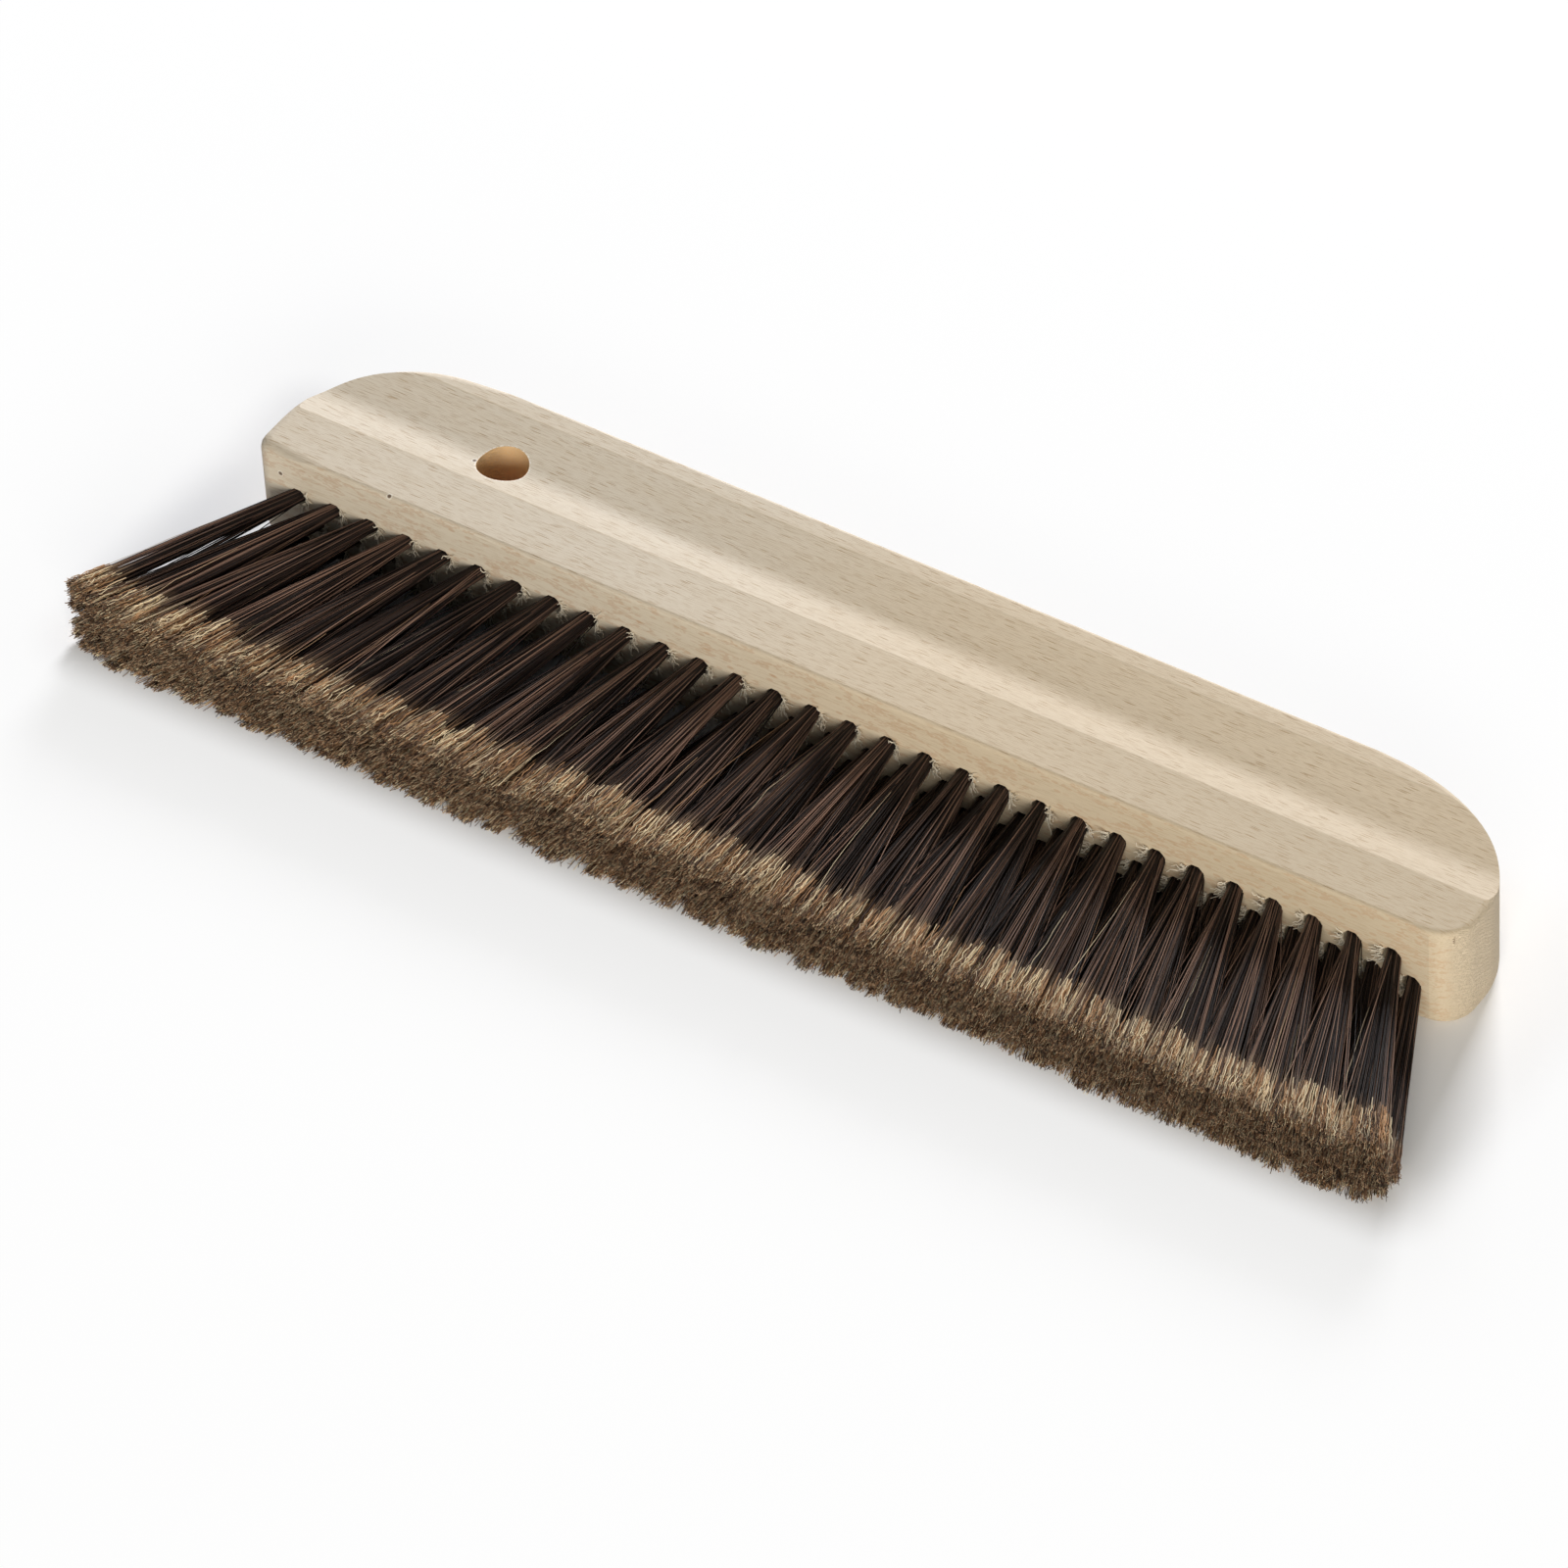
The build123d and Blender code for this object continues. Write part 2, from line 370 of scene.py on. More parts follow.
class BeechGraph(MaterialGraph):
    """The block's tree: where a point of the wood is, which way it faces, and the marks on it."""

    def __init__(self, look):
        super().__init__("Beech")
        self.look = look
        self.place = self.millimetres()
        self.x, self.y, self.z = self.separate(self.place)
        self.normal = self.separate(self.add("ShaderNodeNewGeometry").outputs["Normal"])
        self.on_end, self.on_side, self.on_top = [
            self.ramp(self.math("ABSOLUTE", part), *facing) for part, facing in zip(self.normal, FACING)
        ]
        slanted = self.math("MULTIPLY_ADD", self.y, RING_SLANT, self.z)
        sway = self.times(self.noise(self.place, *SWAY), RING_SWAY)
        self.ring_place = self.math("ADD", slanted, sway)
        self.pores = self.noise(self.place, *PORES)
        self.saw_marks = self.noise(self.place, *SAW_MARKS)

    def marked(self, wood, pattern, kind, colour):
        """The wood with a kind of mark in this colour, at its full strength where the pattern is 1."""
        return self.mix(self.times(pattern, STRENGTH[kind]), wood, colour)

    def fade_in(self, pattern, kind):
        """How much of a kind of mark shows: nothing below its fade, and its full strength above it."""
        return self.ramp(pattern, *FADES[kind], 0.0, STRENGTH[kind])

    def fade_out(self, away, kind):
        """How much of a kind of mark shows this far from its place: nothing beyond its fade."""
        return self.ramp(away, *FADES[kind], STRENGTH[kind], 0.0)

    def dashes(self, across, cell, size):
        """Short marks along the block, one in each cell of a grid; size is their share of a cell."""
        place = self.combine(self.math("DIVIDE", self.x, cell[0]), self.math("DIVIDE", across, cell[1]), 0.0)
        found = self.add("ShaderNodeTexVoronoi", {0: place, "Scale": 1.0}, voronoi_dimensions="2D").outputs
        strength = self.math("MULTIPLY_ADD", self.separate(found["Color"])[0], *DASH_STRENGTH)
        return self.times(self.ramp(found["Distance"], DASH_CORE * size, size, 1.0, 0.0), strength)

    def distance(self, place, mark, shape=(1.0, 1.0, 1.0)):
        """How far a place is from a mark, in mm that count as the mark's shape says."""
        middle = (Vector(mark) + Vector((0.0, BRISTLE_FACE / MM, 0.0))) * Vector(shape)
        return self.vector("DISTANCE", self.vector("MULTIPLY", place, shape), tuple(middle))

    def growth_bands(self):
        """Wood with faint bands and clouds, which is toned towards the end without the hole."""
        ring = self.math("SINE", self.times(self.ring_place, FULL_TURN / (self.look.ring_spacing / MM)))
        bands = self.times(self.ramp(ring, *FADES["growth bands"]), STRENGTH["growth bands"])
        clouds = self.times(self.noise(self.place, *CLOUDS), STRENGTH["clouds"])
        wood = self.mix(self.ramp(self.x, *TONED_ALONG), self.look.plain, self.look.toned)
        return self.mix(self.math("ADD", bands, clouds), wood, self.look.warm)

    def shaded_back_and_warm_edge(self, wood):
        """The wood with painted shade in the warm colour all over its back, and warm between groove and
        bristles towards one end.
        """
        # Painted shade: the back, strongly lit from behind, is darkened to the warm colour
        wood = self.mix(self.ramp(self.normal[1], *BACK_SHADE_FACING), wood, self.look.warm)
        rim = GROOVE_RIMS[0]
        below_groove = self.ramp(self.y, rim - WARM_FADE, rim, STRENGTH["warm edge"], 0.0)
        near_bristles = self.times(self.ramp(self.x, *WARM_ALONG), below_groove)
        off_end = self.math("SUBTRACT", 1.0, self.on_end)
        return self.mix(self.times(near_bristles, off_end), wood, self.look.warm)

    def rays(self):
        """Short flecks along the grain of the two wide faces, as a pattern from 0 to 1."""
        cell = (self.look.ray_length / MM, self.look.ray_width / MM)
        faint_cell = (FAINT_RAY_CELL[0] * cell[0], FAINT_RAY_CELL[1] * cell[1])
        rays = self.times(self.dashes(self.y, cell, RAY_SIZE), STRENGTH["rays"])
        faint_rays = self.times(self.dashes(self.y, faint_cell, FAINT_RAY_SIZE), STRENGTH["faint rays"])
        return self.times(self.math("MAXIMUM", rays, faint_rays), self.on_top)

    def side_figure(self, wood):
        """The wood with fine veins and spots on its bristle face and its back."""
        veins = self.times(self.near(self.noise(self.place, *FIGURE), *VEINS), STRENGTH["veins"])
        spots = self.times(self.dashes(self.z, SPOT_CELL, SPOT_SIZE), STRENGTH["spots"])
        return self.mix(self.times(self.math("MAXIMUM", veins, spots), self.on_side), wood, self.look.spot)

    def rough_end(self):
        """Growth rings and saw marks of the two ends, as a pattern from 0 to 1."""
        growth = self.math("SINE", self.times(self.ring_place, FULL_TURN))
        rings = self.ramp(growth, 0.0, 1.0, 0.0, STRENGTH["end rings"])
        marks = self.fade_in(self.saw_marks, "saw marks")
        return self.times(self.math("ADD", rings, marks), self.on_end)

    def groove_rims(self, wood):
        """The wood with a warm line along each rim of the grooves."""
        rims = self.math("ADD", *[self.near(self.y, rim, RIM_WIDTH) for rim in GROOVE_RIMS])
        return self.marked(wood, self.times(rims, self.on_top), "groove rims", self.look.warm)

    def pin_holes(self, wood):
        """The wood with its three small dark holes, each with a pale rim."""
        for pin_hole in PIN_HOLES:
            away = self.distance(self.place, pin_hole)
            wood = self.mix(self.fade_out(away, "pin hole rims"), wood, PIN_HOLE_RIM_COLOUR)
            wood = self.mix(self.fade_out(away, "pin holes"), wood, PIN_HOLE_COLOUR)
        return wood

    def flecks(self, wood):
        """The wood with three larger flecks on its bristle face."""
        for fleck in FLECKS:
            away = self.distance(self.place, fleck, FLECK_SHAPE)
            wood = self.mix(self.fade_out(away, "flecks"), wood, self.look.spot)
        return wood

    def crack(self, wood):
        """The wood with a short upright crack near its corner, bent by the saw marks."""
        bend = self.combine(self.times(self.saw_marks, CRACK_BEND), 0.0, 0.0)
        away = self.distance(self.vector("ADD", self.place, bend), CRACK, CRACK_SHAPE)
        return self.mix(self.fade_out(away, "crack"), wood, CRACK_COLOUR)

    def hanging_hole(self, wood):
        """The wood with the hole's brown wall, and pale chips round its mouth."""
        middle, radius = hole_axis()
        from_axis = self.vector("DISTANCE", self.combine(self.x, self.y, 0.0), (middle.x, middle.y, 0.0))
        around = self.near(from_axis, radius + CHIPS_FROM_WALL, CHIPS_WIDTH)
        chips = self.times(around, self.ramp(self.saw_marks, *FADES["chips"]))
        wood = self.marked(wood, chips, "chips", CHIP_COLOUR)
        # Painted light: the wall turns lighter and redder deep down, where the hole is in shade
        wall = self.mix(self.ramp(self.z, *DEEP_WALL_LIGHT_HEIGHTS), self.look.bore, self.look.deep_wall_light)
        wall = self.mix(self.fade_in(self.saw_marks, "wall marks"), wall, self.look.warm)
        in_bore = self.ramp(from_axis, radius + BORE_EDGE[0], radius + BORE_EDGE[1], 1.0, 0.0)
        return self.marked(wood, in_bore, "bore", wall)


def beech_material(look):
    """Steamed beech: pale, with faint growth bands, short brown rays, fine pores and rough end grain."""
    g = BeechGraph(look)
    rays = g.rays()
    rough_end = g.rough_end()
    wood = g.shaded_back_and_warm_edge(g.growth_bands())
    wood = g.mix(g.fade_in(g.pores, "pores"), wood, look.ray)
    wood = g.side_figure(g.mix(rays, wood, look.ray))
    wood = g.mix(rough_end, wood, look.warm)
    for with_marks in (g.groove_rims, g.pin_holes, g.flecks, g.crack, g.hanging_hole):
        wood = with_marks(wood)
    relief = g.math("MULTIPLY_ADD", g.pores, PORE_RELIEF, g.times(rough_end, END_RELIEF))
    relief = g.math("SUBTRACT", relief, g.times(rays, RAY_RELIEF))
    return g.surface(
        Base_Color=wood,
        Roughness=g.math("MULTIPLY_ADD", g.pores, 0.2, 0.6),
        Specular_IOR_Level=0.2,
        Normal=g.bump(relief, RELIEF_HEIGHT, 0.8),
    )


# Other materials, in mm apart from the floor's

# Painted shade, as ramp takes it: stems darken towards the block, and ends take the trimmed colour near the
# middle row's height, in the core of the fan. Trimmed tips take that colour by CUT_SHADING, partly as their own
# darker ends and partly as painted shade between them. It comes in clumps.
SHADED_ROOTS = (-8.0, 5.0, 0.0, 0.4)
SHADED_CORE = (3.5, 6.5, 0.55, 0.0)
CUT_SHADING = 0.85
CLUMPS = ((1.1, 1.1, 1.1), 2.0)
CLUMP_LEVELS = (0.43, 0.57)

# Each hair has a random shade: over these stretches stems turn brown, and ends coloured and then pale
BROWN_SHADES = (0.35, 0.95)
BROWN_POWER = 1.5
FLAG_SHADES = (0.05, 0.5)
PALE_SHADES = (0.56, 0.7)
DRAWN_LINES = ((0.6, 14.0, 14.0), 3.0)
SPLINTER_COLOUR = (0.85, 0.78, 0.64)
WIRE_COLOURS = ((0.42, 0.41, 0.40), (0.62, 0.61, 0.59))

# The floor turns white over these distances from a box a little smaller than the brush, by these shares
SHADOW_INSET = 6 * MM
WHITE_FROM = ((16 * MM, 0.7), (70 * MM, 0.2))
WHITE = (1.0, 1.0, 1.0, 1.0)


def middle_row_height():
    """Height of the middle row of tufts in mm, at the middle of its anchors."""
    low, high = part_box("middle_row_anchors")
    return (low.z + high.z) / 2 / MM


def bristle_material(look):
    """Dark natural bristle that turns pale where its ends are split."""
    g = MaterialGraph("Bristle")
    place = g.millimetres()
    y, z = g.separate(place)[1:]
    shade = g.attribute("shade")
    flagged = g.attribute("flagged")
    stem = g.mix(g.math("POWER", g.ramp(shade, *BROWN_SHADES), BROWN_POWER), look.dark, look.brown)
    # Painted shade: stems darker towards the block
    stem = g.mix(g.ramp(y, *SHADED_ROOTS), stem, look.dark)
    end = g.mix(g.ramp(shade, *FLAG_SHADES), g.mix(0.3, look.dark, look.brown), look.flag)
    end = g.mix(g.ramp(shade, *PALE_SHADES), end, look.flag_pale)
    clumps = g.ramp(g.noise(place, *CLUMPS), *CLUMP_LEVELS)
    # Trimmed ends: partly their own darker colour, partly painted shade between the hairs
    trimmed = g.mix(g.times(shade, clumps), look.dark, look.cut)
    # Painted shade: ends near the middle row's height, in the core of the fan, take the trimmed colour
    from_core = g.math("ABSOLUTE", g.math("SUBTRACT", z, middle_row_height()))
    core_shade = g.ramp(from_core, *SHADED_CORE)
    end = g.mix(g.math("MAXIMUM", g.times(g.attribute("cut"), CUT_SHADING), core_shade), end, trimmed)
    return g.surface(
        Base_Color=g.mix(flagged, stem, end),
        Roughness=g.math("MULTIPLY_ADD", flagged, 0.3, 0.42),
        Specular_IOR_Level=0.25,
    )


def splinter_material(look):
    """Torn wood fibre at the mouth of a drilled hole."""
    g = MaterialGraph("Splinter")
    return g.surface(Base_Color=g.mix(g.attribute("shade"), SPLINTER_COLOUR, look.plain), Roughness=0.7)


def wire_material():
    """Drawn steel wire, slightly dulled along its length."""
    g = MaterialGraph("Anchor wire")
    drawn = g.noise(g.millimetres(), *DRAWN_LINES)
    return g.surface(
        Base_Color=g.mix(drawn, *WIRE_COLOURS),
        Metallic=1.0,
        Roughness=g.math("MULTIPLY_ADD", drawn, 0.25, 0.25),
        Normal=g.bump(drawn, 0.01 * MM),
    )


def floor_material(look):
    """Pale floor that turns white away from the brush, and keeps its shadow."""
    g = MaterialGraph("Floor")
    parts = g.separate(g.add("ShaderNodeTexCoord").outputs["Object"])[:2]
    beyond = []
    for part, reach in zip(parts, CAD_BOX[1]):
        past = g.math("SUBTRACT", g.math("ABSOLUTE", part), reach - SHADOW_INSET)
        beyond.append(g.math("MAXIMUM", past, 0.0))
    away = g.vector("LENGTH", g.combine(*beyond, 0.0))
    around = g.math("ADD", *[g.ramp(away, 0.0, reach, 0.0, share) for reach, share in WHITE_FROM])
    paper = g.add("ShaderNodeBsdfDiffuse", {"Color": g.solid(look.floor)}).outputs[0]
    white = g.add("ShaderNodeEmission", {"Color": WHITE, "Strength": 1.0}).outputs[0]
    seen = g.times(g.add("ShaderNodeLightPath").outputs["Is Camera Ray"], around)
    mixed = g.add("ShaderNodeMixShader", {0: seen, 1: paper, 2: white}).outputs[0]
    g.tree.links.new(mixed, g.output.inputs["Surface"])
    return g.material


# Places of the tufts

TIP_TOLERANCE = 0.01 * MM


def corners(node):
    """The places of a CAD node's vertices, sorted along the block."""
    return sorted((vertex.co.copy() for vertex in frame["nodes"][node].data.vertices), key=lambda co: co.x)


def middles(points, count):
    """Middle of each of count groups of points that follow each other along the block."""
    size = len(points) // count
    groups = [points[size * number : size * (number + 1)] for number in range(count)]
    return [
        Vector([(min(p[axis] for p in group) + max(p[axis] for p in group)) / 2 for axis in range(3)])
        for group in groups
    ]


def tuft_roots(row):
    """Where each tuft of a row leaves its hole, which is in line with its anchor."""
    anchors = middles(corners(f"{row}_row_anchors"), TUFTS_PER_ROW)
    return [Vector((anchor.x, BRISTLE_FACE, anchor.z)) for anchor in anchors]


def tuft_tips(row):
    """Middle of the trimmed end of each tuft of a row."""
    tips = []
    for group in range(GROUPS_PER_ROW):
        points = corners(f"{row}_row_tufts_{group + 1:02d}")
        tip_plane = min(point.y for point in points)
        tips += middles([point for point in points if point.y < tip_plane + TIP_TOLERANCE], TUFTS_PER_GROUP)
    return tips


def point_mesh(name, places):
    """A mesh of one vertex for each (root, tip) pair, at its root, which keeps its tip as an attribute."""
    mesh = bpy.data.meshes.new(name)
    roots, tips = zip(*places)
    mesh.from_pydata(roots, [], [])
    kept_tips = mesh.attributes.new("tip", "FLOAT_VECTOR", "POINT")
    for vertex, tip in zip(kept_tips.data, tips):
        vertex.vector = tip
    return mesh


# Growing hairs and fibres

FLOOR_CLEARANCE = 0.2 * MM
TUBE_SIDES = 3


class GeometryGraph(Graph):
    """A Geometry Nodes tree with a seed, an input for each named value and the nodes that strands need."""

    def __init__(self, name, values):
        tree = bpy.data.node_groups.new(name, "GeometryNodeTree")
        super().__init__(tree)
        tree.interface.new_socket("Geometry", in_out="INPUT", socket_type="NodeSocketGeometry")
        tree.interface.new_socket("Geometry", in_out="OUTPUT", socket_type="NodeSocketGeometry")
        for label, value in {"Seed": 0, **values}.items():
            kind = {int: "Int", float: "Float"}.get(type(value), "Material")
            tree.interface.new_socket(label, in_out="INPUT", socket_type=f"NodeSocket{kind}")
        self.given = self.add("NodeGroupInput").outputs

    def seed(self, number):
        """The tree's own seed plus a number, so that each draw has another seed."""
        return self.math("ADD", self.given["Seed"], number)

    def random(self, low, high, seed, key=None):
        """A random number for each point, or for each value of key."""
        inputs = {"Min_001": low, "Max_001": high, "Seed": seed, "ID": key}
        node = self.add("FunctionNodeRandomValue", inputs, data_type="FLOAT")
        return next(output for output in node.outputs if output.enabled)

    def random_vector(self, low, high, seed, key=None):
        """A random vector for each point, or for each value of key."""
        inputs = {"Min": low, "Max": high, "Seed": seed, "ID": key}
        return self.add("FunctionNodeRandomValue", inputs, data_type="FLOAT_VECTOR").outputs[0]

    def random_shift(self, reach, seed, key=None):
        """A random vector whose parts go this far either way."""
        return self.random_vector([-part for part in reach], reach, seed, key)

    def store(self, geometry, name, value, kind="FLOAT_VECTOR"):
        """Geometry whose points keep value under a name."""
        inputs = {"Geometry": geometry, "Name": name, "Value": value}
        return self.add("GeometryNodeStoreNamedAttribute", inputs, data_type=kind, domain="POINT").outputs[0]

    def kept(self, name, kind="FLOAT_VECTOR"):
        """A value that store kept."""
        return self.add("GeometryNodeInputNamedAttribute", {"Name": name}, data_type=kind).outputs[0]

    def blend(self, factor, a, b):
        """Vector between a and b."""
        inputs = {"Factor_Float": factor, "A_Vector": a, "B_Vector": b}
        return self.add("ShaderNodeMix", inputs, data_type="VECTOR").outputs[1]

    def moved(self, place, direction, scale):
        """The place, moved by a scaled direction."""
        return self.vector("ADD", place, self.vector("SCALE", direction, scale=scale))

    def sideways(self, turn, reach):
        """A step square to the bristles, given by its turn round them and its length."""
        x = self.times(self.math("COSINE", turn), reach)
        return self.combine(x, 0.0, self.times(self.math("SINE", turn), reach))

    def wave(self, place, repeats, detail):
        """A vector that sways as the place moves, by up to a half either way."""
        inputs = {"Vector": place, "Scale": repeats, "Detail": detail}
        colour = self.add("ShaderNodeTexNoise", inputs).outputs["Color"]
        return self.vector("SUBTRACT", colour, (0.5, 0.5, 0.5))

    def above_floor(self, place):
        """The place, lifted where it would be in the surface that the brush lies on."""
        x, y, z = self.separate(place)
        return self.combine(x, y, self.math("MAXIMUM", z, FLOOR_CLEARANCE))

    def rooted(self):
        """The given points, each of which keeps its place as its root."""
        return self.store(self.given["Geometry"], "root", self.add("GeometryNodeInputPosition").outputs[0])

    def copies(self, points, amount):
        """Amount points in place of each point, numbered from 0."""
        inputs = {"Geometry": points, "Amount": amount}
        copied, number = self.add("GeometryNodeDuplicateElements", inputs, domain="POINT").outputs
        return self.store(copied, "number", number, "INT")

    def lines(self, points, steps):
        """One line of steps points on each point, and the place along it from 0 to 1."""
        line = self.add("GeometryNodeCurvePrimitiveLine", {"End": (0.0, -MM, 0.0)}).outputs[0]
        line = self.add("GeometryNodeResampleCurve", {"Curve": line, "Count": steps}, mode="COUNT").outputs[0]
        lines = self.add("GeometryNodeInstanceOnPoints", {"Points": points, "Instance": line}).outputs[0]
        curves = self.add("GeometryNodeRealizeInstances", {0: lines}).outputs[0]
        along = self.add("GeometryNodeSplineParameter").outputs["Factor"]
        return self.store(curves, "along", along, "FLOAT"), self.kept("along", "FLOAT")

    def laid(self, curves, place):
        """The curves with their points at place, and none below the floor."""
        lifted = self.above_floor(place)
        return self.add("GeometryNodeSetPosition", {0: curves, "Position": lifted}).outputs[0]

    def tubes(self, curves, radius):
        """Thin tubes of that radius along the curves."""
        size = {"Resolution": TUBE_SIDES, "Radius": 1.0}
        ring = self.add("GeometryNodeCurvePrimitiveCircle", size).outputs[0]
        inputs = {"Curve": curves, "Profile Curve": ring, "Scale": radius, "Fill Caps": True}
        mesh = self.add("GeometryNodeCurveToMesh", inputs).outputs[0]
        return self.add("GeometryNodeSetShadeSmooth", {0: mesh}).outputs[0]

    def finish(self, meshes):
        """Joins the meshes, sets the given material and ends the tree."""
        join = self.add("GeometryNodeJoinGeometry")
        for mesh in reversed(meshes):
            self.tree.links.new(mesh, join.inputs[0])
        real = self.add("GeometryNodeRealizeInstances", {0: join.outputs[0]}).outputs[0]
        inputs = {0: real, "Material": self.given["Material"]}
        dressed = self.add("GeometryNodeSetMaterial", inputs).outputs[0]
        self.add("NodeGroupOutput", {0: dressed})
        return self.tree


def grow(name, places, tree, values):
    """A plain mesh object that the tree grows from (root, tip) pairs, with values for its named inputs."""
    seedling = bpy.data.objects.new(f"{name}_seed", point_mesh(name, places))
    bpy.context.collection.objects.link(seedling)
    modifier = seedling.modifiers.new("Grow", "NODES")
    modifier.node_group = tree
    sockets = {item.name: item.identifier for item in tree.interface.items_tree if item.in_out == "INPUT"}
    for label, value in values.items():
        modifier[sockets[label]] = value
    depsgraph = bpy.context.evaluated_depsgraph_get()
    mesh = bpy.data.meshes.new_from_object(seedling.evaluated_get(depsgraph), depsgraph=depsgraph)
    mesh.name = name
    bpy.data.objects.remove(seedling)
    piece = bpy.data.objects.new(name, mesh)
    bpy.context.collection.objects.link(piece)
    return piece


# Bristles


class Hairs(NamedTuple):
    """One kind of hair in a tuft.

    count names the input with their number, and seed is the first seed of their draws. start holds the
    shares of the way from root to tip between which they begin. scatter is how far their ends are scattered,
    and wild how far the odd one strays, in tuft sizes. steps is each one's number of points, and bow and
    frizz are how far it bends and curls.
    """

    count: str
    seed: int
    start: tuple
    scatter: tuple
    wild: float
    steps: int
    bow: float
    frizz: float


class Path(NamedTuple):
    """Curves of hairs, the place along each one and its share of the way from root to tip, from 0 to 1."""

    curves: bpy.types.NodeSocket
    along: bpy.types.NodeSocket
    share: bpy.types.NodeSocket


STEMS = Hairs("Bristles", 10, (0.0, 0.0), (0.3 * MM, 0.5 * MM, 0.2 * MM), 1.4, 5, 0.4 * MM, 0.0)
FLAGS = Hairs("Split ends", 40, (0.805, 0.865), (1.0 * MM, 0.35 * MM, 0.7 * MM), 0.8, 9, 0.4 * MM, 3.4 * MM)
STRAYS = Hairs("Strays", 70, (0.0, 0.75), (5.0 * MM, 0.5 * MM, 1.6 * MM), 2.0, 9, 1.2 * MM, 2.5 * MM)

# Seeds of the random draws: those of DRAWS are added to a kind's own seed
DRAWS = {"jitter": 0, "odd": 3, "stray": 4, "end": 5, "bow": 6, "shade": 7, "begin": 8}
PALE_FROM_SEED = 31
LOCK_SHIFT_SEED = 77
LOCK_EDGE_SEED = 78
FLAG_WIDTH_SEED = 90
SEED_STEP = 1000

# Hairs stand in a spiral that starts at another turn in each tuft, and jitter by parts of its step
GOLDEN_TURN = 2.39996
TUFT_TURN = 1.7
SPIRAL_JITTER = (-0.5, 1.5)

# Locks: sectors of two rings. LOCK_RINGS is just under 2, so that the outermost hair isn't in a third ring,
# although the numbers of a tuft's locks leave room for one.
LOCKS_ROUND = 6
LOCK_NUMBERS_PER_TUFT = 3 * LOCKS_ROUND
LOCK_RINGS = 1.99
INNER_LOCK_REACH = 0.35
LOCK_RING_STEP = 0.4
LOCK_PULL = 0.35
LOCK_SHIFT = (0.34, 0.13, 0.28)
LOCK_EDGE = 0.03

# Shapes of single hairs. PALE_FROM is the share of the way at which a bristle turns pale, over PALE_OVER.
# FRIZZ holds the repeats per metre and the detail of a wave.
PALE_FROM = (0.83, 0.9)
PALE_OVER = 0.03
FLAG_WIDTHS = (0.6, 1.0)
STRAY_WIDTH = 0.5
ODDNESS = 7.0
STRAY_REACH = (1.0, 0.0, 0.6)
BOW_REACH = (1.0, 0.2, 1.0)
ROOT_DEPTH = 1.5 * MM
FRIZZ_STEP = 2 * MM
FRIZZ = (900.0, 2.0)

# Ramps along a hair, as ramp takes them: how thick it is, how pale, how far it curls and where it is cut
STEM_TAPER = (0.6, 1.0, 1.0, 0.6)
FLAG_TAPER = (0.0, 1.0, 1.1, 0.8)
FLAG_PALING = (-0.6, 0.2)
STRAY_PALING = (0.1, 0.9, 0.35, 1.0)
FRIZZ_GROWTH = (0.0, 0.7)
CUT_ENDS = (0.65, 0.95)

# The fan's ends: its outermost tips are drawn in over a soft stretch, and end a little short of the others
FAN_SOFTNESS = 14 * MM
FAN_SHORT_ALONG = (-6 * MM, 16 * MM)
FAN_SHORT_BY = 3.5 * MM


def spiral_place(g, hairs):
    """Turn and reach of each hair in the round of its tuft, with the reach from 0 to 1."""
    number = g.kept("number", "INT")
    turn = g.math("ADD", g.times(number, GOLDEN_TURN), g.times(g.kept("tuft", "INT"), TUFT_TURN))
    jitter = g.random(*SPIRAL_JITTER, g.seed(hairs.seed + DRAWS["jitter"]))
    share = g.math("DIVIDE", g.math("ADD", number, jitter), g.given[hairs.count], clamp=True)
    return turn, g.math("SQRT", share)


def lock_place(g, turn, reach):
    """Number and middle of the lock that a hair at this turn and reach belongs to."""
    share_of_turn = g.math("FRACT", g.math("DIVIDE", turn, FULL_TURN))
    sector = g.math("FLOOR", g.times(share_of_turn, LOCKS_ROUND))
    ring = g.math("FLOOR", g.times(reach, LOCK_RINGS))
    lock = g.math("MULTIPLY_ADD", ring, LOCKS_ROUND, sector)
    lock = g.math("MULTIPLY_ADD", g.kept("tuft", "INT"), LOCK_NUMBERS_PER_TUFT, lock)
    lock_turn = g.times(g.math("ADD", sector, 0.5), FULL_TURN / LOCKS_ROUND)
    lock_reach = g.math("MULTIPLY_ADD", ring, LOCK_RING_STEP, INNER_LOCK_REACH)
    return g.seed(lock), g.sideways(lock_turn, lock_reach)


def within_fan(g, tip):
    """The tip, drawn in where it would stand out beyond the end of the fan."""
    x, y, z = g.separate(tip)
    beyond = g.math("SUBTRACT", g.math("ABSOLUTE", x), g.math("SUBTRACT", g.given["Fan end"], FAN_SOFTNESS))
    over = g.math("MAXIMUM", beyond, 0.0)
    kept_over = g.times(g.math("TANH", g.math("DIVIDE", over, FAN_SOFTNESS)), FAN_SOFTNESS)
    x = g.math("SUBTRACT", x, g.times(g.math("SIGN", x), g.math("SUBTRACT", over, kept_over)))
    y = g.math("ADD", y, g.ramp(beyond, *FAN_SHORT_ALONG, 0.0, FAN_SHORT_BY))
    return g.combine(x, y, z)


